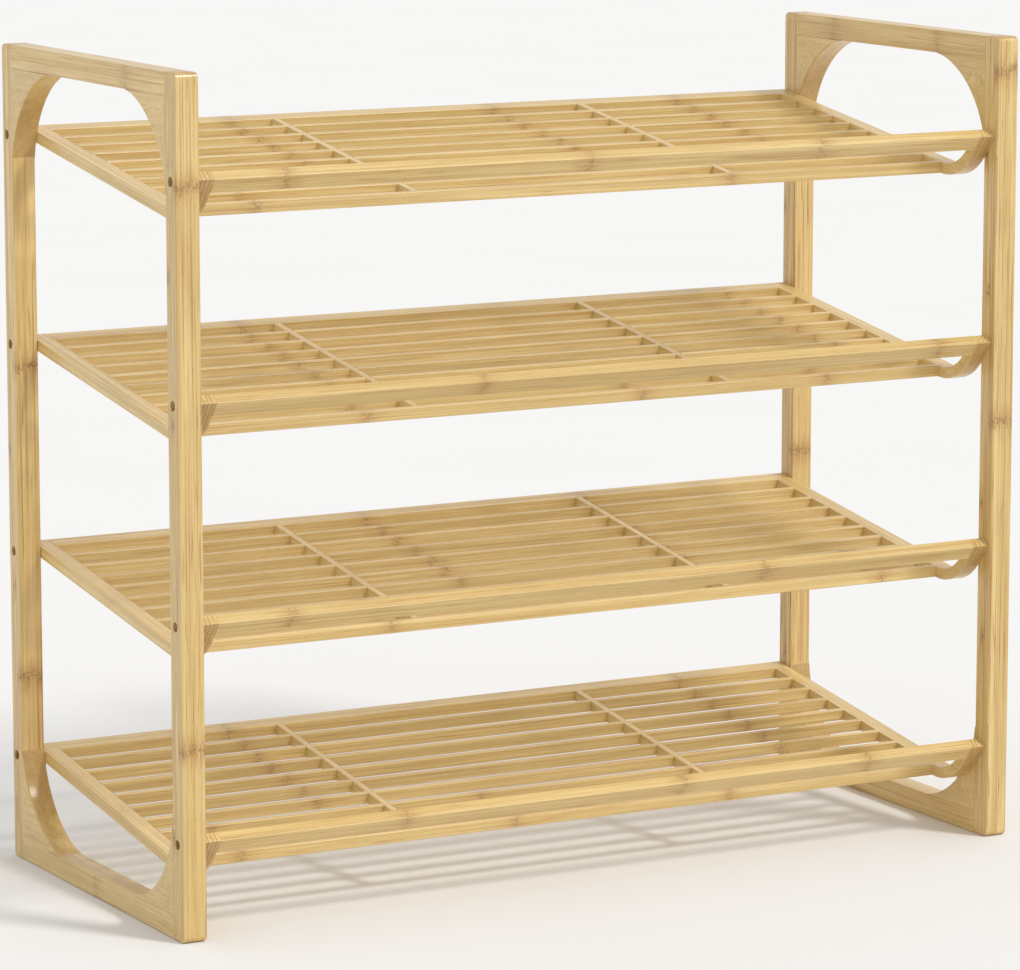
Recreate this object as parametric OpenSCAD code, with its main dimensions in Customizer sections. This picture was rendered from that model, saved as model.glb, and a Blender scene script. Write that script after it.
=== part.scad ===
// Tiered shoe rack: two open side frames carry four shelves that tilt down to the front.
// X runs from left to right, Y from front to back and Z up from the floor.
// The origin is on the floor, at the middle of the rack's footprint.

/* [Rack] */
// Width over the outer faces of the two side frames
rack_w = 800; // [600:10:1000]
// Depth over the front and rear faces of the posts
rack_d = 350; // [320:5:400]
// Height of the side frames
rack_h = 706; // [690:2:760]

/* [Side frames] */
// Thickness of posts, rails and corner blocks across the rack
frame_t = 21; // [20:0.5:24]
// Depth of a post from front to back
post_d = 20; // [19:0.5:22]
// Height of the top and bottom rails
rail_h = 20; // [19:0.5:24]
// Radius of the outer corners of the posts
corner_r = 5; // [2:0.5:8]
// Length of a corner block along the post and along the rail
block_leg = 76; // [60:1:80]
// Radius of the hollow edge of a corner block
block_arc_r = 95; // [90:1:120]

/* [Shelves] */
// Slope of the shelves, rear edge higher
tilt = 8.3; // [6:0.1:9]
// Height from one shelf to the next
tier_pitch = 179.5; // [160:0.5:180]
// Height of the top rear edge of the lowest shelf
first_tier_z = 96.7; // [94:0.1:110]
// Thickness of cheeks, slats and rails of a shelf, square to the slope
shelf_t = 10; // [9.5:0.1:11]
// Thickness of a cheek across the rack
cheek_t = 15; // [14:0.5:18]
// Depth of the back rail
back_rail_d = 17.5; // [17:0.1:19]
// Number of slats on a shelf
slat_n = 9; // [7:1:11]
// Thickness of a slat along the slope
slat_t = 5.4; // [5:0.2:8]
// Thickness of a crossbar
bar_t = 6; // [5:0.5:8]
// Distance of a crossbar's centre from the middle of the rack
bar_x = 152; // [100:1:200]
// Inner radius of the bend at the front of a cheek
bend_r = 41; // [35:0.5:45]
// Lean of the cheek's front arm from upright
arm_lean = 37.5; // [30:0.5:45]
// Straight length of the front arm beyond the bend
arm_len = 21.5; // [18:0.5:24]
// Distance of the lip rail's front edge behind the posts' front faces
lip_setback = 3.5; // [3:0.1:8]
// Height of the lip rail along the arm
lip_h = 15; // [14.5:0.1:16]

/* [Fixings] */
// Diameter of the recess for a bolt head
recess_dia = 8.2; // [8:0.1:9]
// Depth from the post's outer face to the top of the bolt head
head_inset = 6; // [3:0.5:7]
// Diameter of a bolt head
head_dia = 7.8; // [7:0.1:7.8]
// Height of a bolt head
head_h = 4; // [3:0.5:5]
// Diameter of a bolt shank
shank_dia = 5; // [4.5:0.1:5]
// Size of the hexagon socket across its corners
socket_dia = 4.6; // [3.5:0.1:5]
// Diameter of a threaded insert
insert_dia = 6.8; // [6.4:0.1:6.8]
// Length of a threaded insert
insert_len = 13; // [10:1:20]
// Diameter of a locating pin
pin_dia = 3; // [2.5:0.1:3]
// Length of a locating pin
pin_len = 14; // [10:1:18]
// Diameter of a frame dowel
dowel_dia = 6; // [5:0.5:6]
// Length of a dowel between post and rail
dowel_len = 30; // [24:1:32]
// Length of a dowel at a corner block
block_dowel_len = 24; // [16:1:28]

/* [Hidden] */
$fn = 64;

// Signs that pick a side, an end and a level of the rack
LEFT = -1;
RIGHT = 1;
FRONT = -1;
REAR = 1;
BOTTOM = -1;
TOP = 1;

tier_n = 4;        // number of shelves
fit_gap = 0.05;    // clearance all round a dowel, pin, insert or shank
end_gap = 0.5;     // room past the end of a dowel, pin or insert in its hole
through = 1;       // how far a cutting shape runs past the face it opens

inner_x = rack_w / 2 - frame_t;          // inner face of a side frame
cheek_x = inner_x - cheek_t;             // inner face of a cheek
rail_end_y = rack_d / 2 - post_d;        // inner face of a post
shelf_rear_y = rack_d / 2 - shelf_t * sin(tilt);  // top rear edge of every shelf

// Centre of a corner block's hollow edge, from the corner where post and rail meet
block_arc_c = (block_leg + sqrt(2 * block_arc_r * block_arc_r - block_leg * block_leg)) / 2;

turn = 90 - arm_lean + tilt;             // angle that a cheek turns through at its bend

// Point of the arm, forward and up from the start of the bend: along is the distance up the arm from
// the end of the bend, and out is the distance outwards from the bend's centre
function arm_reach(along, out) = [
    along * cos(turn) + out * sin(turn),
    bend_r + along * sin(turn) - out * cos(turn)
];

// The bend starts at the front face of the last slat, and the slats share the slope up to there
lip_edge = arm_reach(arm_len, bend_r + shelf_t);
shelf_run = shelf_rear_y + rack_d / 2 - lip_setback;
bend_start = (shelf_run - lip_edge[1] * sin(tilt)) / cos(tilt) - lip_edge[0];
slat_pitch = (bend_start - back_rail_d) / slat_n;
bend_flats = 24;          // narrow flats that make up each round face of the bend

// The same points measured from the rear edge of the shelf
function arm_point(along, out) = [bend_start, 0] + arm_reach(along, out);
function bend_point(angle, out) = [bend_start + out * sin(angle), bend_r - out * cos(angle)];

rail_bolt_u = 8;          // bolt axis from the rear edge of the back rail
rail_pin_u = 14;          // pin axis from the rear edge of the back rail
lip_bolt_down = 5;        // bolt axis from the top of the lip rail
lip_pin_down = 11.2;      // pin axis from the top of the lip rail
tenon_h = 5;              // height of the tenon at each end of a slat
tenon_l = 7;              // length of that tenon
dowel_rise = 5;           // frame dowel axes above and below the middle of a rail
block_dowel_at = 25;      // block dowel axis from the corner where post and rail meet
socket_depth = 2.5;       // depth of the hexagon socket in a bolt head
bolt_grip = 12;           // length of bolt shank inside an insert

bamboo = "#d9b070";
bamboo_shelf = "#e0ba7e";
dowel_wood = "#e8d3a4";
steel = "#6f7176";
brass = "#b99a4b";

// ---- shared shapes ----

// Turns an outline of (distance forward from the rear, height) into a plate across the rack
module plate_x(thickness) {
    rotate([90, 0, -90])
        linear_extrude(height = thickness, center = true)
            children();
}

// Round bar along X from x0 to x1 through the point (y, z)
module bar_along_x(dia, x0, x1, y, z) {
    translate([x0, y, z])
        rotate([0, 90, 0])
            cylinder(d = dia, h = x1 - x0);
}

// Round bar along Y from y0 to y1 through the point (x, z)
module bar_along_y(dia, x, y0, y1, z) {
    translate([x, y1, z])
        rotate([90, 0, 0])
            cylinder(d = dia, h = y1 - y0);
}

// Places a shape drawn at the right into the chosen side
module at_side(side) {
    if (side == LEFT)
        mirror([1, 0, 0]) children();
    else
        children();
}

// Places a shape drawn at the rear into the chosen end
module at_end(end) {
    if (end == FRONT)
        mirror([0, 1, 0]) children();
    else
        children();
}

// Places a shape drawn at the bottom into the chosen level
module at_level(level) {
    if (level == TOP)
        translate([0, 0, rack_h]) mirror([0, 0, 1]) children();
    else
        children();
}

// Puts a shape drawn about a shelf's top rear edge into its tier, tilted
module at_tier(tier) {
    translate([0, shelf_rear_y, first_tier_z + (tier - 1) * tier_pitch])
        rotate([tilt, 0, 0])
            children();
}

// ---- fixing positions ----

// Places a solid at the four bolt axes of a shelf, as drawn at the right end
module at_bolts() {
    for (side = [LEFT, RIGHT])
        at_side(side) {
            at_rail_bolt() children();
            at_lip_point(lip_bolt_down) children();
        }
}

// Places a solid at the four pin axes of a shelf, as drawn at the right end
module at_pins() {
    for (side = [LEFT, RIGHT])
        at_side(side) {
            translate([0, -rail_pin_u, -shelf_t / 2]) children();
            at_lip_point(lip_pin_down) children();
        }
}

module at_rail_bolt() {
    translate([0, -rail_bolt_u, -shelf_t / 2]) children();
}

// Point on the middle line of the arm, a given distance below its top
module at_lip_point(down) {
    p = arm_point(arm_len - down, bend_r + shelf_t / 2);
    translate([0, -p[0], p[1]]) children();
}

// Holes for bolts through posts and cheeks, and for the inserts in the rail ends
module bolt_holes() {
    at_bolts() {
        bar_along_x(shank_dia + 2 * fit_gap, cheek_x - through, rack_w / 2, 0, 0);
        bar_along_x(insert_dia + 2 * fit_gap, cheek_x - insert_len - end_gap, cheek_x, 0, 0);
        bar_along_x(recess_dia, rack_w / 2 - head_inset - head_h, rack_w / 2 + through, 0, 0);
    }
}

// Blind holes for the locating pins between cheeks and rails
module pin_holes() {
    reach = pin_len / 2 + end_gap;
    at_pins()
        bar_along_x(pin_dia + 2 * fit_gap, cheek_x - reach, cheek_x + reach, 0, 0);
}

// The dowels of one side frame, drawn at the right; spare widens and lengthens them into holes
module dowel_set(spare_dia, spare_len) {
    x = rack_w / 2 - frame_t / 2;
    half = dowel_len / 2 + spare_len;
    block_half = block_dowel_len / 2 + spare_len;
    dia = dowel_dia + 2 * spare_dia;
    for (end = [FRONT, REAR], level = [BOTTOM, TOP])
        at_end(end) at_level(level) {
            for (rise = [-dowel_rise, dowel_rise])
                bar_along_y(dia, x, rail_end_y - half, rail_end_y + half, rail_h / 2 + rise);
            bar_along_y(dia, x, rail_end_y - block_half, rail_end_y + block_half, rail_h + block_dowel_at);
            translate([x, rail_end_y - block_dowel_at, rail_h - block_half])
                cylinder(d = dia, h = 2 * block_half);
        }
}

// ---- side frames ----

// Side view of a post: outer corners rounded, inner edge straight
module post_outline() {
    difference() {
        translate([-rack_d / 2, 0])
            square([post_d, rack_h]);
        for (level = [0, 1])
            translate([-rack_d / 2, level * rack_h])
                mirror([0, level])
                    difference() {
                        translate([-through, -through])
                            square(corner_r + through);
                        translate([corner_r, corner_r])
                            circle(corner_r);
                    }
    }
}

module post(side, end) {
    color(bamboo)
        difference() {
            at_side(side) at_end(end)
                translate([rack_w / 2 - frame_t / 2, 0, 0])
                    plate_x(frame_t) post_outline();
            for (tier = [1:tier_n])
                at_tier(tier) bolt_holes();
            at_side(side) dowel_set(fit_gap, end_gap);
        }
}

module frame_rail(side, level) {
    color(bamboo)
        difference() {
            at_side(side) at_level(level)
                translate([inner_x, -rail_end_y, 0])
                    cube([frame_t, 2 * rail_end_y, rail_h]);
            at_side(side) dowel_set(fit_gap, end_gap);
        }
}

// Side view of a corner block: a square corner with a hollow round edge
module block_outline() {
    difference() {
        square(block_leg);
        translate([block_arc_c, block_arc_c])
            circle(block_arc_r, $fn = 180);
    }
}

module corner_block(side, end, level) {
    color(bamboo)
        difference() {
            at_side(side) at_end(end) at_level(level)
                translate([rack_w / 2 - frame_t / 2, rail_end_y, rail_h])
                    plate_x(frame_t) block_outline();
            at_side(side) dowel_set(fit_gap, end_gap);
        }
}

module frame_dowels(side) {
    color(dowel_wood)
        at_side(side) dowel_set(0, 0);
}

// ---- shelves ----

// Side view of a cheek: a straight foot for the slats, a bend and a short front arm
module cheek_outline() {
    outer = bend_r + shelf_t;
    angles = [for (i = [0:bend_flats]) turn * i / bend_flats];
    polygon(concat(
        [[0, -shelf_t]],
        [for (i = [0:bend_flats]) bend_point(angles[i], outer)],
        [arm_point(arm_len, outer), arm_point(arm_len, bend_r)],
        [for (i = [bend_flats:-1:0]) bend_point(angles[i], bend_r)],
        [[0, 0]]
    ));
}

// Side view of the lip rail: the top stretch of the arm
module lip_outline() {
    outer = bend_r + shelf_t;
    low = arm_len - lip_h;
    polygon([arm_point(low, outer), arm_point(arm_len, outer), arm_point(arm_len, bend_r), arm_point(low, bend_r)]);
}

// Solid of one slat with a tenon at each end, notched for the crossbars
module slat(index) {
    notched = index < slat_n;
    translate([0, -back_rail_d - index * slat_pitch, 0])
        difference() {
            union() {
                translate([-cheek_x, 0, -shelf_t])
                    cube([2 * cheek_x, slat_t, shelf_t]);
                slat_tenons();
            }
            if (notched)
                for (side = [LEFT, RIGHT])
                    translate([side * bar_x - bar_t / 2, -through, -shelf_t / 2])
                        cube([bar_t, slat_t + 2 * through, shelf_t]);
        }
}

module slat_tenons() {
    translate([-cheek_x - tenon_l, 0, -(shelf_t + tenon_h) / 2])
        cube([2 * (cheek_x + tenon_l), slat_t, tenon_h]);
}

module cheek(side, tier) {
    color(bamboo_shelf)
        at_tier(tier)
            difference() {
                translate([side * (inner_x - cheek_t / 2), 0, 0])
                    plate_x(cheek_t) cheek_outline();
                for (index = [1:slat_n])
                    translate([0, -back_rail_d - index * slat_pitch, 0])
                        slat_tenons();
                bolt_holes();
                pin_holes();
            }
}

module back_rail(tier) {
    color(bamboo_shelf)
        at_tier(tier)
            difference() {
                translate([-cheek_x, -back_rail_d, -shelf_t])
                    cube([2 * cheek_x, back_rail_d, shelf_t]);
                bolt_holes();
                pin_holes();
            }
}

module lip_rail(tier) {
    color(bamboo_shelf)
        at_tier(tier)
            difference() {
                plate_x(2 * cheek_x) lip_outline();
                bolt_holes();
                pin_holes();
            }
}

module slats(tier) {
    color(bamboo_shelf)
        at_tier(tier)
            for (index = [1:slat_n])
                slat(index);
}

// A bar from the back rail to the last slat, notched from below over the other slats
module crossbar(side, tier) {
    bar_end = bend_start - slat_t;
    color(bamboo_shelf)
        at_tier(tier)
            translate([side * bar_x - bar_t / 2, 0, 0])
                difference() {
                    translate([0, -bar_end, -shelf_t])
                        cube([bar_t, bar_end - back_rail_d, shelf_t]);
                    for (index = [1:slat_n - 1])
                        translate([-through, -back_rail_d - index * slat_pitch, -shelf_t - through])
                            cube([bar_t + 2 * through, slat_t, shelf_t / 2 + through]);
                }
}

// ---- fixings ----

module bolts(tier) {
    head_x = rack_w / 2 - head_inset - head_h;
    color(steel)
        at_tier(tier)
            at_bolts()
                difference() {
                    union() {
                        bar_along_x(head_dia, head_x, head_x + head_h, 0, 0);
                        bar_along_x(shank_dia, cheek_x - bolt_grip, head_x, 0, 0);
                    }
                    translate([head_x + head_h - socket_depth, 0, 0])
                        rotate([0, 90, 0])
                            cylinder(d = socket_dia, h = socket_depth + through, $fn = 6);
                }
}

module inserts(tier) {
    color(brass)
        at_tier(tier)
            at_bolts()
                difference() {
                    bar_along_x(insert_dia, cheek_x - insert_len, cheek_x, 0, 0);
                    bar_along_x(shank_dia + 2 * fit_gap, cheek_x - insert_len - through, cheek_x + through, 0, 0);
                }
}

module pins(tier) {
    color(dowel_wood)
        at_tier(tier)
            at_pins()
                bar_along_x(pin_dia, cheek_x - pin_len / 2, cheek_x + pin_len / 2, 0, 0);
}

// ---- the rack ----

post(LEFT, FRONT);  // left_front_post
post(LEFT, REAR);  // left_rear_post
frame_rail(LEFT, TOP);  // left_top_rail
frame_rail(LEFT, BOTTOM);  // left_bottom_rail
corner_block(LEFT, FRONT, TOP);  // left_top_front_block
corner_block(LEFT, REAR, TOP);  // left_top_rear_block
corner_block(LEFT, FRONT, BOTTOM);  // left_bottom_front_block
corner_block(LEFT, REAR, BOTTOM);  // left_bottom_rear_block
frame_dowels(LEFT);  // left_frame_dowels
post(RIGHT, FRONT);  // right_front_post
post(RIGHT, REAR);  // right_rear_post
frame_rail(RIGHT, TOP);  // right_top_rail
frame_rail(RIGHT, BOTTOM);  // right_bottom_rail
corner_block(RIGHT, FRONT, TOP);  // right_top_front_block
corner_block(RIGHT, REAR, TOP);  // right_top_rear_block
corner_block(RIGHT, FRONT, BOTTOM);  // right_bottom_front_block
corner_block(RIGHT, REAR, BOTTOM);  // right_bottom_rear_block
frame_dowels(RIGHT);  // right_frame_dowels
cheek(LEFT, 1);  // shelf_1_left_cheek
cheek(RIGHT, 1);  // shelf_1_right_cheek
back_rail(1);  // shelf_1_back_rail
lip_rail(1);  // shelf_1_lip_rail
slats(1);  // shelf_1_slats
crossbar(LEFT, 1);  // shelf_1_left_crossbar
crossbar(RIGHT, 1);  // shelf_1_right_crossbar
bolts(1);  // shelf_1_bolts
inserts(1);  // shelf_1_inserts
pins(1);  // shelf_1_pins
cheek(LEFT, 2);  // shelf_2_left_cheek
cheek(RIGHT, 2);  // shelf_2_right_cheek
back_rail(2);  // shelf_2_back_rail
lip_rail(2);  // shelf_2_lip_rail
slats(2);  // shelf_2_slats
crossbar(LEFT, 2);  // shelf_2_left_crossbar
crossbar(RIGHT, 2);  // shelf_2_right_crossbar
bolts(2);  // shelf_2_bolts
inserts(2);  // shelf_2_inserts
pins(2);  // shelf_2_pins
cheek(LEFT, 3);  // shelf_3_left_cheek
cheek(RIGHT, 3);  // shelf_3_right_cheek
back_rail(3);  // shelf_3_back_rail
lip_rail(3);  // shelf_3_lip_rail
slats(3);  // shelf_3_slats
crossbar(LEFT, 3);  // shelf_3_left_crossbar
crossbar(RIGHT, 3);  // shelf_3_right_crossbar
bolts(3);  // shelf_3_bolts
inserts(3);  // shelf_3_inserts
pins(3);  // shelf_3_pins
cheek(LEFT, 4);  // shelf_4_left_cheek
cheek(RIGHT, 4);  // shelf_4_right_cheek
back_rail(4);  // shelf_4_back_rail
lip_rail(4);  // shelf_4_lip_rail
slats(4);  // shelf_4_slats
crossbar(LEFT, 4);  // shelf_4_left_crossbar
crossbar(RIGHT, 4);  // shelf_4_right_crossbar
bolts(4);  // shelf_4_bolts
inserts(4);  // shelf_4_inserts
pins(4);  // shelf_4_pins
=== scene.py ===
import math
import random

import bmesh
import bpy
from mathutils import Matrix, Vector
from mathutils.bvhtree import BVHTree


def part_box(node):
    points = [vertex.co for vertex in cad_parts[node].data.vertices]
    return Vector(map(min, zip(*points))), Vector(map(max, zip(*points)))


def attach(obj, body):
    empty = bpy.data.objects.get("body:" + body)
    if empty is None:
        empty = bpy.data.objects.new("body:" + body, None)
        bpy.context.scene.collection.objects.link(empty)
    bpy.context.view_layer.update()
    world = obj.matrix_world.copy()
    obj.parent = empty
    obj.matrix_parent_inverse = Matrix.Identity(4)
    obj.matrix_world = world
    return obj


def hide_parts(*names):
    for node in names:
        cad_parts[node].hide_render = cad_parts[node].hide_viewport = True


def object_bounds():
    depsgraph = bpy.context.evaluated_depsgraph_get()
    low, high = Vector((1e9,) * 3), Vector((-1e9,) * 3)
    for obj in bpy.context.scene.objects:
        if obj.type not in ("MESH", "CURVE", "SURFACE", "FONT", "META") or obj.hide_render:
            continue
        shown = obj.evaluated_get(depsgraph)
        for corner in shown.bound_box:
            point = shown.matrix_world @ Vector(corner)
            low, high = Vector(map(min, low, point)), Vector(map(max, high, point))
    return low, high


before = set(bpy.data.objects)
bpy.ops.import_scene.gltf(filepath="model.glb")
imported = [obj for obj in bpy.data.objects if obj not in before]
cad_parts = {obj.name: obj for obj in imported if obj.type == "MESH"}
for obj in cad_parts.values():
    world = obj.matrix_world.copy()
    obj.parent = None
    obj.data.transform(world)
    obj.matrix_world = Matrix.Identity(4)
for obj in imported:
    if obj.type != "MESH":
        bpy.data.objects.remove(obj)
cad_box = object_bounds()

MM = 0.001

# ---- the pieces of the rack ----

SIDES = ("left", "right")
ENDS = ("front", "rear")
LEVELS = ("top", "bottom")
TIERS = (1, 2, 3, 4)

POSTS = [f"{side}_{end}_post" for side in SIDES for end in ENDS]
FRAME_RAILS = [f"{side}_{level}_rail" for side in SIDES for level in LEVELS]
BLOCKS = [f"{side}_{level}_{end}_block" for side in SIDES for level in LEVELS for end in ENDS]
CHEEKS = [f"shelf_{tier}_{side}_cheek" for tier in TIERS for side in SIDES]
CROSSBARS = [f"shelf_{tier}_{side}_crossbar" for tier in TIERS for side in SIDES]
BACK_RAILS = [f"shelf_{tier}_back_rail" for tier in TIERS]
LIP_RAILS = [f"shelf_{tier}_lip_rail" for tier in TIERS]
SLATS = [f"shelf_{tier}_slats" for tier in TIERS]
BOLTS = [f"shelf_{tier}_bolts" for tier in TIERS]
FRAME_DOWELS = [f"{side}_frame_dowels" for side in SIDES]
WOOD = POSTS + FRAME_RAILS + BLOCKS + CHEEKS + CROSSBARS + BACK_RAILS + LIP_RAILS + SLATS


def slope_of(node):
    """Angle between the floor and the widest face of a node."""
    widest = max(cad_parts[node].data.polygons, key=lambda face: face.area)
    return math.atan2(abs(widest.normal.y), abs(widest.normal.z))


TILT = slope_of("shelf_1_back_rail")
LEVELLED = Matrix.Rotation(-TILT, 3, "X")    # turns a shelf's own directions level
UPRIGHT = Matrix.Identity(3)

# ---- edges ----

WELD = 0.01 * MM                    # joins the split corners of the CAD surface
CUT_WELD = 2 * WELD                 # the same, once a piece has been cut
FLAT = math.radians(0.5)            # faces closer in angle than this are one face
SHARP = math.radians(28)            # edges that turn more than this are rounded
FRAME_ROUND = 1.5 * MM              # rounding of the side frames' edges
SHELF_ROUND = 0.7 * MM              # rounding of the shelves' edges
BOLT_ROUND = 0.35 * MM              # rounding of the bolt heads' edges
ROUND_STEPS = 3
SEAM = 0.14                         # share of the rounding left where two pieces are glued
RIM = 0.2                           # share of the rounding on a closed curve, the rim of a bored hole
FEATHER = math.radians(120)         # edges that turn more than this run out to nothing and stay sharp
SHORT = 3.0 * MM                    # edges shorter than this make up a curve, rounded alike all along
BORE_ROOM = 6.0 * MM                # no other cut comes this close to the middle of a bore
ROOM = 2.5                          # distance to the next piece that allows the whole rounding
TAPER_CUTS = (0, 2 * MM, 4 * MM, 8 * MM)
SAMPLES = (0.1, 0.3, 0.5, 0.7, 0.9)
ONE_SURFACE = math.cos(math.radians(50))    # faces closer in direction than this shade as one surface


def welded(node):
    """The node's surface with its split corners joined."""
    bm = bmesh.new()
    bm.from_mesh(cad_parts[node].data)
    bmesh.ops.remove_doubles(bm, verts=bm.verts, dist=WELD)
    return bm


def clean_solid(node, turn, axis, places):
    """The node's surface with flat faces made whole, cut square across an axis at the given places."""
    bm = welded(node)
    normal = turn.transposed().col[axis]
    for place in places:
        cut = bmesh.ops.bisect_plane(
            bm, geom=bm.verts[:] + bm.edges[:] + bm.faces[:], dist=WELD,
            plane_co=normal * place, plane_no=normal,
        )
        for part in cut["geom_cut"]:
            if isinstance(part, bmesh.types.BMEdge):
                part.seam = True
    bmesh.ops.remove_doubles(bm, verts=bm.verts, dist=CUT_WELD)
    bmesh.ops.dissolve_limit(bm, angle_limit=FLAT, verts=bm.verts, edges=bm.edges, delimit={"SEAM"})
    return bm


def islands(bm):
    """The separate solids of a surface, from the front of the rack to the rear."""
    left = set(bm.verts)
    groups = []
    while left:
        group = set()
        waiting = [left.pop()]
        while waiting:
            vert = waiting.pop()
            group.add(vert)
            for edge in vert.link_edges:
                other = edge.other_vert(vert)
                if other in left:
                    left.remove(other)
                    waiting.append(other)
        groups.append(group)
    return sorted(groups, key=lambda group: min((v.co.y, v.co.x, v.co.z) for v in group))


def extent(points):
    """Lowest and highest corner of some points."""
    return [Vector([pick(co[i] for co in points) for i in range(3)]) for pick in (min, max)]


def bore_places(node, fillers, turn, axis):
    """Where along an axis the bores of a node lie: at the middle of each small solid that reaches into it.

    A cut through the middle of every bore leaves no flat face with a hole in it."""
    places = set()
    for filler in fillers:
        bm = welded(filler)
        for group in islands(bm):
            if boxes_meet(extent([v.co for v in group]), BOXES[node], 0.0):
                low, high = extent([turn @ v.co for v in group])
                places.add(round((low[axis] + high[axis]) / 2, 6))
        bm.free()
    return sorted(places)


def tree_of(node):
    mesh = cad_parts[node].data
    return BVHTree.FromPolygons([v.co for v in mesh.vertices], [p.vertices for p in mesh.polygons])


BOXES = {node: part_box(node) for node in WOOD}
TREES = {node: tree_of(node) for node in WOOD}


def boxes_meet(one, other, gap):
    return all(one[0][i] - gap < other[1][i] and other[0][i] - gap < one[1][i] for i in range(3))


def neighbours_of(node, gap):
    return [TREES[n] for n in WOOD if n != node and boxes_meet(BOXES[node], BOXES[n], gap)]


def free_room(edge, trees, reach):
    """The usual distance from an edge to the nearest other piece, or reach if nothing is near."""
    start, end = (vert.co for vert in edge.verts)
    found = []
    for share in SAMPLES:
        hits = [tree.find_nearest(start.lerp(end, share), reach)[3] for tree in trees]
        found.append(min([hit for hit in hits if hit is not None], default=reach))
    return sorted(found)[len(found) // 2]


def runs_of(edges, short):
    """Groups of short edges in a row, as on a curve; every longer edge is a group of its own."""
    left = set(edges)
    runs = []
    while left:
        run = [left.pop()]
        for edge in run:
            if edge.calc_length() < short:
                around = (other for vert in edge.verts for other in vert.link_edges)
                near = {other for other in around if other.calc_length() < short}
                run.extend(near & left)
                left -= near
        runs.append(run)
    return runs


def weigh_edges(bm, node, rounding, short):
    """Sets how much each sharp edge is rounded: all of it in the open, a hairline at a glued seam."""
    weight = bm.edges.layers.float.new("bevel_weight_edge")
    reach = ROOM * rounding
    trees = neighbours_of(node, reach)
    for run in runs_of((edge for edge in bm.edges if SHARP < edge.calc_face_angle_signed() < FEATHER), short):
        rooms = sorted(free_room(edge, trees, reach) / reach for edge in run)
        share = max(SEAM, rooms[len(rooms) // 2])
        if len({vert for edge in run for vert in edge.verts}) == len(run):
            share = RIM if share > SEAM else 0.0
        for edge in run:
            edge[weight] = share


def mark_figure(bm, node, wood, knots_of):
    """Gives every solid its own corner, layer thickness, knot places and random numbers for its material."""
    corner = bm.verts.layers.float_vector.new("figure_corner")
    seed = bm.verts.layers.float_vector.new("figure_seed")
    knots = bm.verts.layers.float_vector.new("figure_knots")
    layer = bm.verts.layers.float.new("figure_layer")
    dice = random.Random(node)
    for index, group in enumerate(islands(bm)):
        lowest, highest = extent([wood["turn"] @ v.co for v in group])
        thickness = (highest - lowest)[wood["layer_axis"]] / wood["layer_count"]
        numbers = Vector((dice.random(), dice.random(), dice.random()))
        places = Vector([place + dice.uniform(-KNOT_JITTER, KNOT_JITTER) for place in knots_of(index)])
        for vert in group:
            vert[corner] = lowest
            vert[seed] = numbers
            vert[layer] = thickness
            vert[knots] = places


def shade(mesh):
    """Shades the roundings smoothly, while each flat face keeps its own direction up to its edges."""
    around = [[] for _ in mesh.vertices]
    for face in mesh.polygons:
        for index in face.vertices:
            around[index].append((face.normal.copy(), face.area))
    corners = []
    for face in mesh.polygons:
        for index in face.vertices:
            near = [normal * area for normal, area in around[index] if normal.dot(face.normal) > ONE_SURFACE]
            corners.append(sum(near, Vector()).normalized())
    mesh.normals_split_custom_set(corners)


def finish_piece(bm, node, material, rounding):
    """Turns a surface into a piece that stands for its CAD node."""
    mesh = bpy.data.meshes.new(f"{node}.sharp")
    bm.to_mesh(mesh)
    bm.free()
    mesh.shade_smooth()
    mesh.materials.append(material)
    piece = bpy.data.objects.new(f"{node}.piece", mesh)
    bpy.context.scene.collection.objects.link(piece)
    bevel = piece.modifiers.new("rounding", "BEVEL")
    bevel.limit_method = "WEIGHT"
    bevel.offset_type = "OFFSET"
    bevel.width = rounding
    bevel.segments = ROUND_STEPS
    bevel.use_clamp_overlap = False
    bevel.loop_slide = False
    bevel.miter_outer = "MITER_SHARP"
    rounded = bpy.data.meshes.new_from_object(piece.evaluated_get(bpy.context.evaluated_depsgraph_get()))
    piece.modifiers.clear()
    piece.data = rounded
    piece.data.name = f"{node}.piece"
    bpy.data.meshes.remove(mesh)
    shade(rounded)
    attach(piece, "root")
    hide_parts(node)


def timber(node, wood, rounding, knots_of, axis=0, cuts=(), short=SHORT):
    """A wooden piece with rounded edges and its own figure; knots_of gives each solid's three knot places."""
    bm = clean_solid(node, wood["turn"], axis, cuts)
    weigh_edges(bm, node, rounding, short)
    mark_figure(bm, node, wood, knots_of)
    finish_piece(bm, node, wood["material"], rounding)


# ---- materials ----


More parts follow.
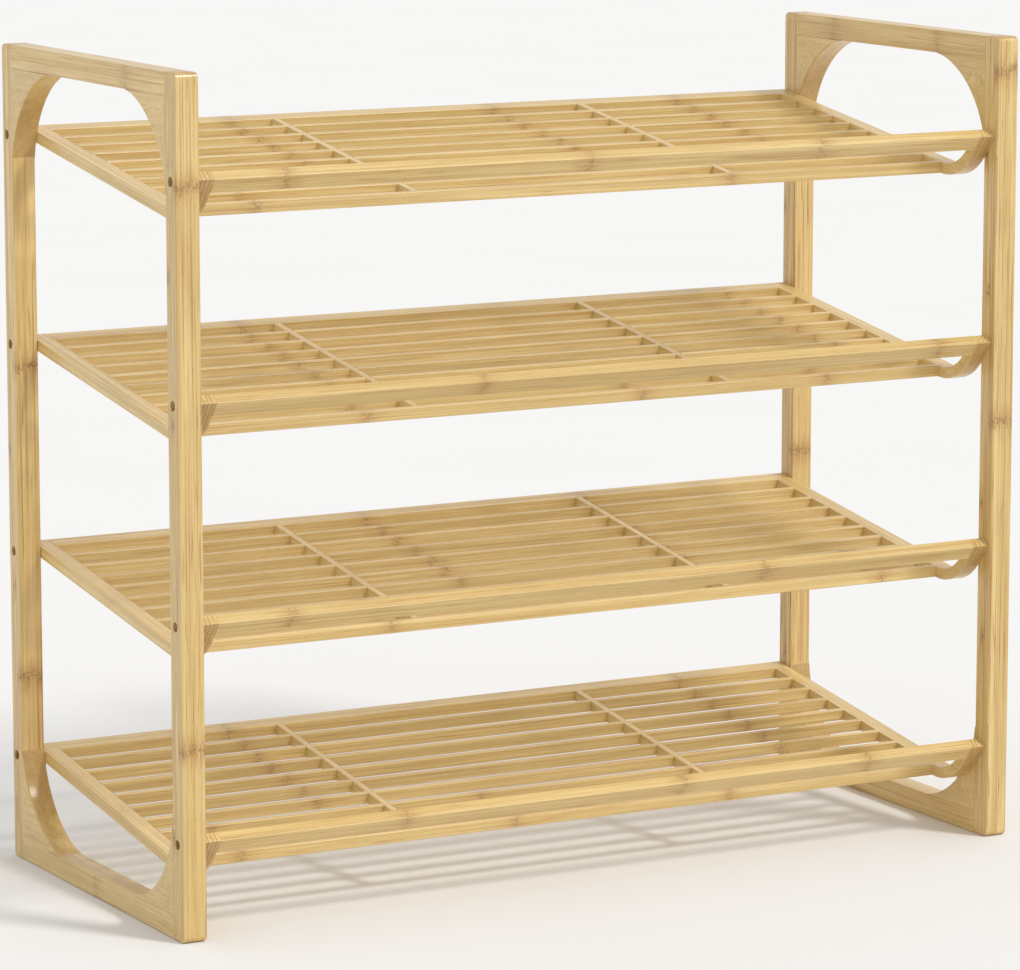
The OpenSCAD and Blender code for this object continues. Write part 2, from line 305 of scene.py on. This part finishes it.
class Graph:
    """Short calls that add nodes to a material."""

    def __init__(self, name):
        self.material = bpy.data.materials.new(name)
        self.material.use_nodes = True
        self.tree = self.material.node_tree
        self.shader = self.tree.nodes["Principled BSDF"]

    def add(self, kind, inputs=None, **settings):
        node = self.tree.nodes.new(kind)
        for key, value in settings.items():
            setattr(node, key, value)
        for key, value in (inputs or {}).items():
            self.put(node.inputs[key], value)
        return node

    def put(self, socket, value):
        if isinstance(value, bpy.types.NodeSocket):
            self.tree.links.new(value, socket)
        else:
            socket.default_value = value

    def math(self, operation, a, b=0.0, c=0.0, clamp=False):
        return self.add("ShaderNodeMath", {0: a, 1: b, 2: c}, operation=operation, use_clamp=clamp).outputs[0]

    def vector(self, operation, a, b=(0.0, 0.0, 0.0)):
        return self.add("ShaderNodeVectorMath", {0: a, 1: b}, operation=operation).outputs[0]

    def split(self, vector):
        return self.add("ShaderNodeSeparateXYZ", {0: vector}).outputs

    def join(self, x, y, z):
        return self.add("ShaderNodeCombineXYZ", {0: x, 1: y, 2: z}).outputs[0]

    def noise(self, vector, scale=1.0, detail=2.0, roughness=0.5):
        inputs = {"Vector": vector, "Scale": scale, "Detail": detail, "Roughness": roughness}
        return self.add("ShaderNodeTexNoise", inputs).outputs["Fac"]

    def ramp(self, value, low, high, out_low=0.0, out_high=1.0):
        """Maps low..high to out_low..out_high with a soft start and end."""
        inputs = {"Value": value, "From Min": low, "From Max": high, "To Min": out_low, "To Max": out_high}
        return self.add("ShaderNodeMapRange", inputs, interpolation_type="SMOOTHSTEP").outputs["Result"]

    def mix(self, factor, a, b, blend="MIX"):
        node = self.add("ShaderNodeMix", data_type="RGBA", blend_type=blend)
        self.put(node.inputs[0], factor)
        self.put(node.inputs[6], a)
        self.put(node.inputs[7], b)
        return node.outputs[2]

    def attribute(self, name, output):
        return self.add("ShaderNodeAttribute", attribute_name=name).outputs[output]

    def bump(self, height, strength, distance):
        inputs = {"Height": height, "Strength": strength, "Distance": distance}
        return self.add("ShaderNodeBump", inputs).outputs["Normal"]


# Bamboo colours, linear
PALE = (0.79, 0.600, 0.265, 1.0)      # between the fibres
HONEY = (0.665, 0.462, 0.167, 1.0)    # usual tone
TAN = (0.46, 0.272, 0.087, 1.0)       # fibre bundles
RUST = (0.43, 0.215, 0.056, 1.0)      # long dark fibres and the stain around a knot
BROWN = (0.24, 0.108, 0.030, 1.0)     # knots and glue lines
KNOT_SHIFT = 0.31                     # largest shift of the knots from one layer to the next
KNOT_JITTER = 2.0 * MM                # how far a knot strays from the place given for it
TONE_SPREAD = 0.12                    # how much one layer is lighter or darker than the next


def axes_of(graph, turn_back, grain, across, layers):
    """The place along the grain, and distances across it and through the layers from a solid's corner."""
    place = graph.add("ShaderNodeTexCoord").outputs["Object"]
    if turn_back:
        inputs = {"Vector": place, "Angle": -TILT}
        place = graph.add("ShaderNodeVectorRotate", inputs, rotation_type="X_AXIS").outputs[0]
    parts = graph.split(graph.vector("SUBTRACT", place, graph.attribute("figure_corner", "Vector")))
    whole = graph.split(place)
    return whole[grain], parts[across], parts[layers]


def end_grain_share(graph, turn_back, grain):
    """1 on faces cut square across the fibres, 0 on faces along them."""
    normal = graph.add("ShaderNodeNewGeometry").outputs["Normal"]
    if turn_back:
        inputs = {"Vector": normal, "Angle": -TILT}
        normal = graph.add("ShaderNodeVectorRotate", inputs, rotation_type="X_AXIS").outputs[0]
    along = graph.math("ABSOLUTE", graph.split(normal)[grain])
    return graph.ramp(along, 0.45, 0.9)


def stretched(graph, along, across, through, scale, shift):
    """A place for a noise whose grains are longer along the fibres; scale is per metre along and across."""
    return graph.join(
        graph.math("ADD", graph.math("MULTIPLY", along, scale[0]), shift[0]),
        graph.math("ADD", graph.math("MULTIPLY", across, scale[1]), shift[1]),
        graph.math("MULTIPLY", through, scale[1]),
    )


def knot_distance(graph, along, layer_id):
    """Distance along the grain to the nearest of a solid's three knots."""
    shift = graph.math("MULTIPLY", graph.math("FRACT", graph.math("MULTIPLY", layer_id, 0.618)), KNOT_SHIFT)
    place = graph.math("ADD", along, shift)
    knots = graph.split(graph.attribute("figure_knots", "Vector"))
    away = [graph.math("SUBTRACT", place, knot) for knot in knots]
    near = [graph.math("ABSOLUTE", value) for value in away]
    return graph.math("MINIMUM", graph.math("MINIMUM", near[0], near[1]), near[2])


def knot_marks(graph, place, layer_id, shift):
    """(spots, loops, stain) of the knots: a broken row of dark spots, small loops and a streaky stain."""
    along, across, through = place

    def grains(along_scale, across_scale, detail=1.0):
        at = stretched(graph, along, across, through, (along_scale, across_scale), shift)
        return graph.noise(at, detail=detail)

    wobble = graph.math("SUBTRACT", grains(50.0, 190.0, 2.0), 0.5)
    far = knot_distance(graph, graph.math("ADD", along, graph.math("MULTIPLY", wobble, 16.0 * MM)), layer_id)

    def within(near, end):
        return graph.ramp(far, near, end, 1.0, 0.0)

    curls = graph.math("ABSOLUTE", graph.math("SUBTRACT", grains(210.0, 300.0), 0.5))
    spots = graph.math("MULTIPLY", within(0.6 * MM, 2.6 * MM), graph.ramp(grains(240.0, 420.0), 0.44, 0.60))
    loops = graph.math("MULTIPLY", within(3.0 * MM, 8.0 * MM), graph.ramp(curls, 0.012, 0.055, 1.0, 0.0))
    streaks = graph.ramp(grains(30.0, 460.0, 2.0), 0.38, 0.60)
    stain = graph.math("MULTIPLY", within(2.0 * MM, 22.0 * MM), streaks)
    return spots, loops, stain


def bamboo(
    name, turn_back, grain, across, layers, layer_count,
    lines=0.5, knots=0.5, glue_width=0.3 * MM, glue_force=0.5, glue_from=0.0,
):
    """Laminated bamboo: pale strips with fibre streaks, glue lines, knots and darker cut ends.

    lines is the strength of the long dark fibres, and knots that of the marks at a knot. The glue lines are
    faint up to the width glue_from."""
    graph = Graph(name)
    seeds = graph.split(graph.attribute("figure_seed", "Vector"))
    along, wide, through = axes_of(graph, turn_back, grain, across, layers)
    layer_place = graph.math("DIVIDE", through, graph.attribute("figure_layer", "Fac"))
    layer_id = graph.math("FLOOR", graph.math("ADD", layer_place, 0.001))

    # Every solid and every layer takes its figure from another part of the noise
    seed_far = graph.math("MULTIPLY", seeds[0], 40.0)
    tone_at = graph.join(layer_id, seed_far, seeds[1])
    tone_noise = graph.add("ShaderNodeTexWhiteNoise", {"Vector": tone_at}, noise_dimensions="3D")
    layer_tone = tone_noise.outputs["Value"]
    shift = (graph.math("MULTIPLY", layer_tone, 30.0), seed_far)

    def figure(along_scale, across_scale, detail=2.0, roughness=0.5):
        place = stretched(graph, along, wide, through, (along_scale, across_scale), shift)
        return graph.noise(place, detail=detail, roughness=roughness)

    fibres = figure(9.0, 1250.0, 3.0, 0.62)
    bands = figure(2.6, 170.0)
    clouds = figure(9.0, 60.0)
    threads = figure(4.0, 800.0, 1.0)
    lenses = figure(16.0, 420.0, 1.0)
    dashes = graph.ramp(figure(80.0, 1500.0, 1.0), 0.66, 0.78)

    colour = graph.mix(graph.ramp(bands, 0.34, 0.66), HONEY, PALE)
    colour = graph.mix(graph.ramp(clouds, 0.48, 0.74, 0.0, 0.35), colour, TAN)
    colour = graph.mix(graph.ramp(fibres, 0.45, 0.75, 0.0, 0.50), colour, TAN)
    colour = graph.mix(graph.ramp(threads, 0.56, 0.66, 0.0, lines), colour, RUST)
    colour = graph.mix(graph.ramp(lenses, 0.60, 0.74, 0.0, lines), colour, RUST)
    colour = graph.mix(graph.math("MULTIPLY", dashes, 0.30), colour, BROWN)

    spots, loops, stain = knot_marks(graph, (along, wide, through), layer_id, shift)
    colour = graph.mix(graph.math("MULTIPLY", stain, knots), colour, RUST)
    colour = graph.mix(graph.math("MULTIPLY", loops, knots), colour, BROWN)
    colour = graph.mix(graph.math("MULTIPLY", spots, knots), colour, BROWN)

    ends = end_grain_share(graph, turn_back, grain)
    pores_across = graph.math("MULTIPLY", wide, 900.0)
    pores_through = graph.math("MULTIPLY", through, 900.0)
    pores_at = graph.join(pores_across, pores_through, seed_far)
    pores = graph.add("ShaderNodeTexVoronoi", {"Vector": pores_at, "Scale": 1.0}).outputs["Distance"]
    end_colour = graph.mix(graph.ramp(pores, 0.15, 0.6, 0.45, 0.05), RUST, BROWN)
    colour = graph.mix(graph.math("MULTIPLY", ends, 0.5), colour, end_colour)

    # Glue lines between the layers, and the tone of each layer
    if layer_count > 1:
        seam = graph.math("ROUND", layer_place)
        seam = graph.math("MAXIMUM", 1.0, graph.math("MINIMUM", seam, layer_count - 1))
        edge_gap = graph.math("ABSOLUTE", graph.math("SUBTRACT", layer_place, seam))
        edge_gap = graph.math("MULTIPLY", edge_gap, graph.attribute("figure_layer", "Fac"))
        glue = graph.ramp(edge_gap, 0.2 * glue_width, glue_width, glue_force, 0.0)
        faint = graph.ramp(wide, glue_from - 1.0 * MM, glue_from, 0.3, 1.0)
        colour = graph.mix(graph.math("MULTIPLY", glue, faint), colour, BROWN)
    tone = graph.math("ADD", graph.math("MULTIPLY", layer_tone, TONE_SPREAD), 1.0 - TONE_SPREAD / 2)
    tone = graph.math("ADD", tone, graph.math("MULTIPLY", graph.math("SUBTRACT", seeds[2], 0.5), 0.10))
    colour = graph.mix(1.0, colour, graph.join(tone, tone, tone), "MULTIPLY")

    rough = graph.ramp(fibres, 0.3, 0.7, 0.40, 0.52)
    rough = graph.math("ADD", rough, graph.math("MULTIPLY", ends, 0.10))
    relief = graph.math("SUBTRACT", fibres, graph.math("MULTIPLY", spots, 0.8))
    graph.put(graph.shader.inputs["Base Color"], colour)
    graph.put(graph.shader.inputs["Roughness"], rough)
    graph.put(graph.shader.inputs["Normal"], graph.bump(relief, 0.3, 0.12 * MM))
    graph.shader.inputs["IOR"].default_value = 1.46
    graph.shader.inputs["Coat Weight"].default_value = 0.5
    graph.shader.inputs["Coat Roughness"].default_value = 0.17
    turn = LEVELLED if turn_back else UPRIGHT
    return {"material": graph.material, "turn": turn, "layer_axis": layers, "layer_count": layer_count}


def raw_wood(name):
    """Plain pale hardwood with short pores, for the dowels."""
    graph = Graph(name)
    place = graph.add("ShaderNodeTexCoord").outputs["Object"]
    streaks = graph.noise(place, scale=700.0, detail=3.0)
    clouds = graph.noise(place, scale=90.0)
    colour = graph.mix(graph.ramp(clouds, 0.35, 0.65), (0.72, 0.58, 0.36, 1.0), (0.60, 0.45, 0.25, 1.0))
    colour = graph.mix(graph.ramp(streaks, 0.52, 0.74, 0.0, 0.6), colour, TAN)
    graph.put(graph.shader.inputs["Base Color"], colour)
    graph.put(graph.shader.inputs["Roughness"], graph.ramp(streaks, 0.3, 0.7, 0.55, 0.68))
    graph.put(graph.shader.inputs["Normal"], graph.bump(streaks, 0.3, 0.1 * MM))
    return graph.material


def brushed_metal(name, base, dull, roughness):
    """Turned metal with fine rings and cloudy dull patches."""
    graph = Graph(name)
    place = graph.add("ShaderNodeTexCoord").outputs["Object"]
    rings = graph.noise(graph.vector("MULTIPLY", place, (9000.0, 1400.0, 1400.0)), detail=1.0)
    clouds = graph.noise(place, scale=420.0, detail=3.0)
    graph.put(graph.shader.inputs["Base Color"], graph.mix(graph.ramp(clouds, 0.35, 0.7), base, dull))
    rough = graph.ramp(rings, 0.3, 0.7, roughness - 0.06, roughness + 0.1)
    graph.put(graph.shader.inputs["Roughness"], rough)
    graph.put(graph.shader.inputs["Normal"], graph.bump(rings, 0.2, 0.02 * MM))
    graph.shader.inputs["Metallic"].default_value = 1.0
    return graph.material


X, Y, Z = 0, 1, 2
POST_WOOD = bamboo("bamboo_post", False, Z, X, Y, 3, lines=1.0, knots=0.7, glue_force=0.35)
RAIL_WOOD = bamboo("bamboo_rail", False, Y, X, Z, 1, lines=0.65, knots=0.35)
BLOCK_WOOD = bamboo("bamboo_block", False, Y, X, Z, 1, lines=0.35)
CHEEK_WOOD = bamboo("bamboo_cheek", True, Y, Z, X, 4, glue_width=0.6 * MM, glue_force=0.6, glue_from=13 * MM)
BAR_WOOD = bamboo("bamboo_bar", True, Y, Z, X, 1, lines=0.3)
SHELF_WOOD = bamboo("bamboo_slat", True, X, Z, Y, 1, lines=0.55, knots=0.45)
DOWEL_WOOD = raw_wood("dowel_wood")
STEEL = brushed_metal("bolt_steel", (0.20, 0.17, 0.14, 1.0), (0.10, 0.085, 0.07, 1.0), 0.34)
BRASS = brushed_metal("insert_brass", (0.66, 0.46, 0.16, 1.0), (0.45, 0.30, 0.11, 1.0), 0.30)

# ---- side frames ----

NO_KNOT = 9.0          # a place far outside the rack
POST_KNOTS = {
    "left_front_post": (0.615, 0.160, NO_KNOT),
    "left_rear_post": (0.160, 0.430, NO_KNOT),
    "right_front_post": (0.676, 0.370, NO_KNOT),
    "right_rear_post": (0.600, 0.300, NO_KNOT),
}
RAIL_KNOTS = {
    "left_top_rail": (-0.080, NO_KNOT, NO_KNOT),
    "left_bottom_rail": (0.000, NO_KNOT, NO_KNOT),
    "right_top_rail": (0.092, -0.078, NO_KNOT),
    "right_bottom_rail": (0.040, NO_KNOT, NO_KNOT),
}
NO_KNOTS = (NO_KNOT, NO_KNOT, NO_KNOT)


def frame_cuts(node, fillers, axis):
    """Cuts through the bores, and cuts over which a rounding grows beyond the ends of the corner blocks."""
    low, high = BOXES["left_bottom_front_block"][1][axis], BOXES["left_top_rear_block"][0][axis]
    ends = [low + step for step in TAPER_CUTS] + [high - step for step in TAPER_CUTS]
    bores = bore_places(node, fillers, UPRIGHT, axis)
    return bores + [end for end in ends if all(abs(end - bore) > BORE_ROOM for bore in bores)]


for post in POSTS:
    cuts = frame_cuts(post, FRAME_DOWELS + BOLTS, Z)
    timber(post, POST_WOOD, FRAME_ROUND, lambda _: POST_KNOTS[post], Z, cuts)
for rail in FRAME_RAILS:
    cuts = frame_cuts(rail, FRAME_DOWELS, Y)
    timber(rail, RAIL_WOOD, FRAME_ROUND, lambda _: RAIL_KNOTS[rail], Y, cuts)
for block in BLOCKS:
    # The rounding of the hollow edge dies out towards the block's thin ends
    timber(block, BLOCK_WOOD, FRAME_ROUND, lambda _: NO_KNOTS, short=0.0)

# ---- shelves ----

# Places of the knots across the rack, for each shelf: on the rear slats, the front slats and the lip rail
SHELF_KNOTS = {
    1: ((-0.202, 0.260, NO_KNOT), (-0.317, -0.061, 0.152), (-0.192, 0.071, 0.259)),
    2: ((-0.063, 0.156, NO_KNOT), (-0.175, 0.308, NO_KNOT), (-0.296, 0.152, NO_KNOT)),
    3: ((-0.188, 0.310, NO_KNOT), (-0.198, 0.062, 0.249), (-0.119, 0.326, NO_KNOT)),
    4: ((-0.196, 0.064, 0.252), (-0.301, 0.150, NO_KNOT), (-0.298, -0.022, 0.206)),
}
FRONT_SLATS = 3        # this many slats at the front come from the second board

for crossbar in CROSSBARS:
    timber(crossbar, BAR_WOOD, SHELF_ROUND, lambda _: NO_KNOTS)
for tier in TIERS:
    fillers = [f"shelf_{tier}_{part}" for part in ("slats", "bolts", "pins")]
    for side in SIDES:
        cheek = f"shelf_{tier}_{side}_cheek"
        cuts = bore_places(cheek, fillers, LEVELLED, Y)
        timber(cheek, CHEEK_WOOD, SHELF_ROUND, lambda _: NO_KNOTS, Y, cuts)
    rear_board, front_board, lip_board = SHELF_KNOTS[tier]
    timber(f"shelf_{tier}_back_rail", SHELF_WOOD, SHELF_ROUND, lambda _: rear_board)
    timber(f"shelf_{tier}_lip_rail", SHELF_WOOD, SHELF_ROUND, lambda _: lip_board)
    timber(
        f"shelf_{tier}_slats", SHELF_WOOD, SHELF_ROUND,
        lambda index: front_board if index < FRONT_SLATS else rear_board,
    )

# ---- fixings ----


def bolt_heads(node):
    """The bolts of a shelf with softened edges."""
    bm = clean_solid(node, UPRIGHT, X, ())
    weight = bm.edges.layers.float.new("bevel_weight_edge")
    for edge in bm.edges:
        if len(edge.link_faces) == 2 and edge.calc_face_angle_signed() > SHARP:
            edge[weight] = 1.0
    finish_piece(bm, node, STEEL, BOLT_ROUND)


def repaint(node, material):
    """Gives a CAD node that keeps its own surface a better material."""
    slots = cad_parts[node].material_slots
    for slot in slots:
        slot.material = material


for bolt in BOLTS:
    bolt_heads(bolt)
for side in SIDES:
    repaint(f"{side}_frame_dowels", DOWEL_WOOD)
for tier in TIERS:
    repaint(f"shelf_{tier}_inserts", BRASS)
    repaint(f"shelf_{tier}_pins", DOWEL_WOOD)

# ---- floor, light and camera ----

low, high = Vector(cad_box[0]), Vector(cad_box[1])
centre = (low + high) / 2
span = (high - low).length


def floor():
    """A plain pale floor that fills the view."""
    half = 30 * span
    bm = bmesh.new()
    corners = [(-half, -half, 0), (half, -half, 0), (half, half, 0), (-half, half, 0)]
    bm.faces.new([bm.verts.new(corner) for corner in corners])
    mesh = bpy.data.meshes.new("floor")
    bm.to_mesh(mesh)
    bm.free()
    graph = Graph("floor_white")
    place = graph.add("ShaderNodeTexCoord").outputs["Object"]
    mottle = graph.noise(place, scale=3.0, detail=2.0)
    colour = graph.mix(mottle, (0.82, 0.82, 0.82, 1.0), (0.84, 0.84, 0.84, 1.0))
    graph.put(graph.shader.inputs["Base Color"], colour)
    graph.shader.inputs["Roughness"].default_value = 0.9
    graph.shader.inputs["Specular IOR Level"].default_value = 0.1
    mesh.materials.append(graph.material)
    piece = bpy.data.objects.new("floor", mesh)
    bpy.context.scene.collection.objects.link(piece)


def studio():
    """Even white surroundings and one wide soft light from the front right, high up."""
    world = bpy.data.worlds.new("studio")
    world.use_nodes = True
    world.node_tree.nodes["Background"].inputs["Color"].default_value = (1.0, 1.0, 1.0, 1.0)
    world.node_tree.nodes["Background"].inputs["Strength"].default_value = 0.78
    bpy.context.scene.world = world
    lamp = bpy.data.lights.new("key", "SUN")
    lamp.energy = 1.55
    lamp.angle = math.radians(11)
    lamp.color = (1.0, 0.985, 0.95)
    light = bpy.data.objects.new("key", lamp)
    light.rotation_euler = Vector((0.55, -0.80, 1.0)).to_track_quat("Z", "Y").to_euler()
    bpy.context.scene.collection.objects.link(light)
    bpy.context.scene.view_settings.view_transform = "Standard"


VIEW_TURN = math.radians(28.53)      # the camera stands this far to the left of straight in front
VIEW_DROP = math.radians(9.48)       # and looks down by this much
VIEW_DISTANCE = 4.319                # from the point that it looks at
VIEW_LENS = 175.95                   # focal length, mm
AIM_SHIFT = Vector((-0.006, -0.003, -0.032))     # that point, from the middle of the rack


def camera():
    lens = bpy.data.cameras.new("camera")
    lens.sensor_width = 36.0
    lens.lens = VIEW_LENS
    lens.clip_end = 200.0
    view = bpy.data.objects.new("camera", lens)
    back = Vector((
        -math.sin(VIEW_TURN) * math.cos(VIEW_DROP),
        -math.cos(VIEW_TURN) * math.cos(VIEW_DROP),
        math.sin(VIEW_DROP),
    ))
    view.location = centre + AIM_SHIFT + back * VIEW_DISTANCE
    view.rotation_euler = back.to_track_quat("Z", "Y").to_euler()
    bpy.context.scene.collection.objects.link(view)
    bpy.context.scene.camera = view


floor()
studio()
camera()
